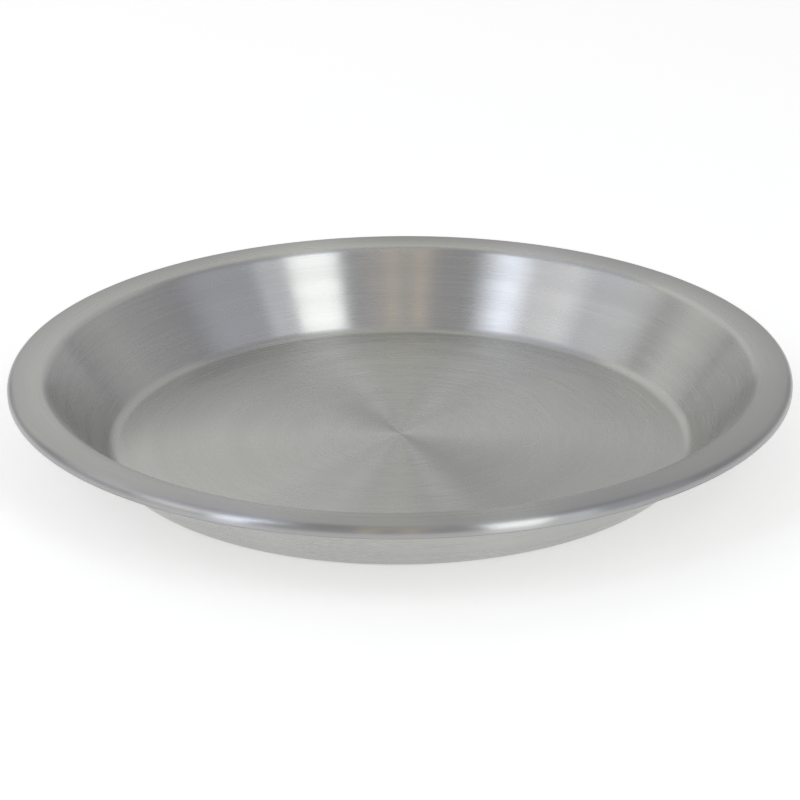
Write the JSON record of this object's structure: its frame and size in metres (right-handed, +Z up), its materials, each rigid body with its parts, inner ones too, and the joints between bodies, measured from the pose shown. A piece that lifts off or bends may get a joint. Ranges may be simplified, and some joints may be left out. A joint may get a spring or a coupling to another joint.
{
  "type": "pie tin",
  "caption": "Round shallow pie tin spun from brushed aluminium sheet, with a flat floor, a straight sloping wall, a flat flange and a turned-down edge.",
  "frame": {"origin": "centre of the flat underside, on the surface that the tin stands on", "axes": "+Z up out of the open mouth, along the axis of the round; +X and +Y lie in the floor and are alike"},
  "size_m": [0.254, 0.254, 0.028],
  "materials": {
    "brushed_aluminium": "brushed in rings round the axis"
  },
  "bodies": {
    "root": {"pie_tin": "brushed_aluminium"}
  },
  "joints": []
}
